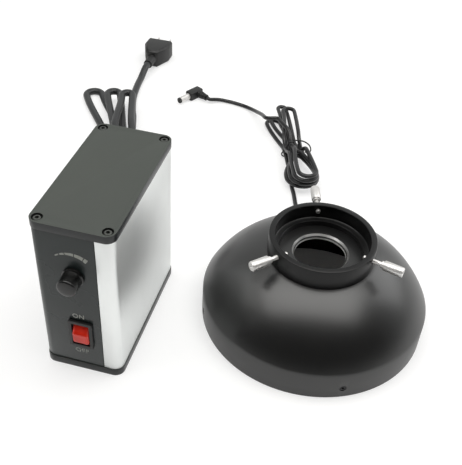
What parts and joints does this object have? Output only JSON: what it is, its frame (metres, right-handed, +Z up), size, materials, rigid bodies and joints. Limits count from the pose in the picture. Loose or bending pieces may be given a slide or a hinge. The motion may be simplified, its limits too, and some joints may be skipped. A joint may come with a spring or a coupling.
{
  "type": "microscope dome light",
  "caption": "Domed microscope lamp head with an adapter collar and thumbscrews, a low-voltage lead, and a control box with a knob and rocker switch.",
  "frame": {"origin": "on the table, at the centre of the box that bounds the control box and the dome head, without their cords", "axes": "+X from the control box to the dome head, +Y from the control panel to the back, +Z up"},
  "size_m": [0.3315, 0.4381, 0.1125],
  "materials": {
    "black_metal": "satin black paint",
    "collar_black": "smooth satin black finish on turned metal",
    "reflector_white": "matt white, diffusing",
    "board_white": "white circuit board with pale lamps",
    "screw_dark": "blackened steel",
    "nickel": "bright nickel plate",
    "silver_metal": "fine brushed silver sheet",
    "panel_grey": "dark grey satin paint",
    "plate_grey": "warm dark grey fine-textured paint",
    "knob_black": "glossy black moulding",
    "rocker_red": "glossy red translucent moulding",
    "black_plastic": "satin black moulding",
    "cord_rubber": "satin dark grey cord jacket",
    "board_green": "green circuit board",
    "capacitor_blue": "blue sleeve"
  },
  "bodies": {
    "base": {"adapter_collar": "collar_black", "bottom_plate": "plate_grey", "bottom_screw_1": "screw_dark", "bottom_screw_2": "screw_dark", "bottom_screw_3": "screw_dark", "bottom_screw_4": "screw_dark", "box_black_half": "panel_grey", "box_silver_half": "silver_metal", "collar_screw_1": "screw_dark", "collar_screw_2": "screw_dark", "collar_screw_3": "screw_dark", "dc_hank": "cord_rubber", "dc_jack": "black_plastic", "dc_jack_nut": "nickel", "dc_lead_dome_end": "cord_rubber", "dc_lead_plug_end": "cord_rubber", "dc_plug_barrel": "nickel", "dc_plug_body": "black_plastic", "dc_plug_tip": "black_plastic", "dc_tie": "black_plastic", "dome_shell": "black_metal", "dome_sleeve": "black_plastic", "driver_board": "board_green", "heat_sink": "silver_metal", "led_board": "board_white", "led_carrier": "collar_black", "main_capacitor": "capacitor_blue", "mains_gland": "black_plastic", "mains_hank": "cord_rubber", "mains_lead_box_end": "cord_rubber", "mains_lead_plug_end": "cord_rubber", "mains_pin_1": "nickel", "mains_pin_2": "nickel", "mains_plug_body": "black_plastic", "mains_tie": "black_plastic", "pot_body": "black_plastic", "pot_nut": "nickel", "reflector_liner": "reflector_white", "rim_screw_1": "screw_dark", "rim_screw_2": "screw_dark", "rim_screw_3": "screw_dark", "rim_screw_4": "screw_dark", "switch_housing": "black_plastic", "switch_terminal_1": "nickel", "switch_terminal_2": "nickel", "top_plate": "plate_grey", "top_screw_1": "screw_dark", "top_screw_2": "screw_dark", "top_screw_3": "screw_dark", "top_screw_4": "screw_dark", "transformer": "black_plastic"},
    "knob": {"knob": "knob_black", "pot_shaft": "nickel"},
    "rocker": {"switch_rocker": "rocker_red"},
    "thumbscrew_a": {"thumbscrew_1": "nickel"},
    "thumbscrew_b": {"thumbscrew_2": "nickel"},
    "thumbscrew_c": {"thumbscrew_3": "nickel"}
  },
  "joints": [
    {"name": "knob_turn", "type": "hinge", "parent": "base", "child": "knob", "pos_m": [-0.08833, -0.07734, 0.0784], "axis": [0, 1, 0], "range_deg": [-150, 150]},
    {"name": "rocker_tilt", "type": "hinge", "parent": "base", "child": "rocker", "pos_m": [-0.08733, -0.07634, 0.0319], "axis": [1, 0, 0], "range_deg": [0, 25]},
    {"name": "thumbscrew_1_travel", "type": "slide", "parent": "base", "child": "thumbscrew_a", "axis": [-0.7108, -0.7034, 0], "range_m": [-0.004, 0.0035]},
    {"name": "thumbscrew_2_travel", "type": "slide", "parent": "base", "child": "thumbscrew_b", "axis": [0.9646, -0.2639, 0], "range_m": [-0.004, 0.0035]},
    {"name": "thumbscrew_3_travel", "type": "slide", "parent": "base", "child": "thumbscrew_c", "axis": [-0.2538, 0.9673, 0], "range_m": [-0.004, 0.0035]}
  ]
}
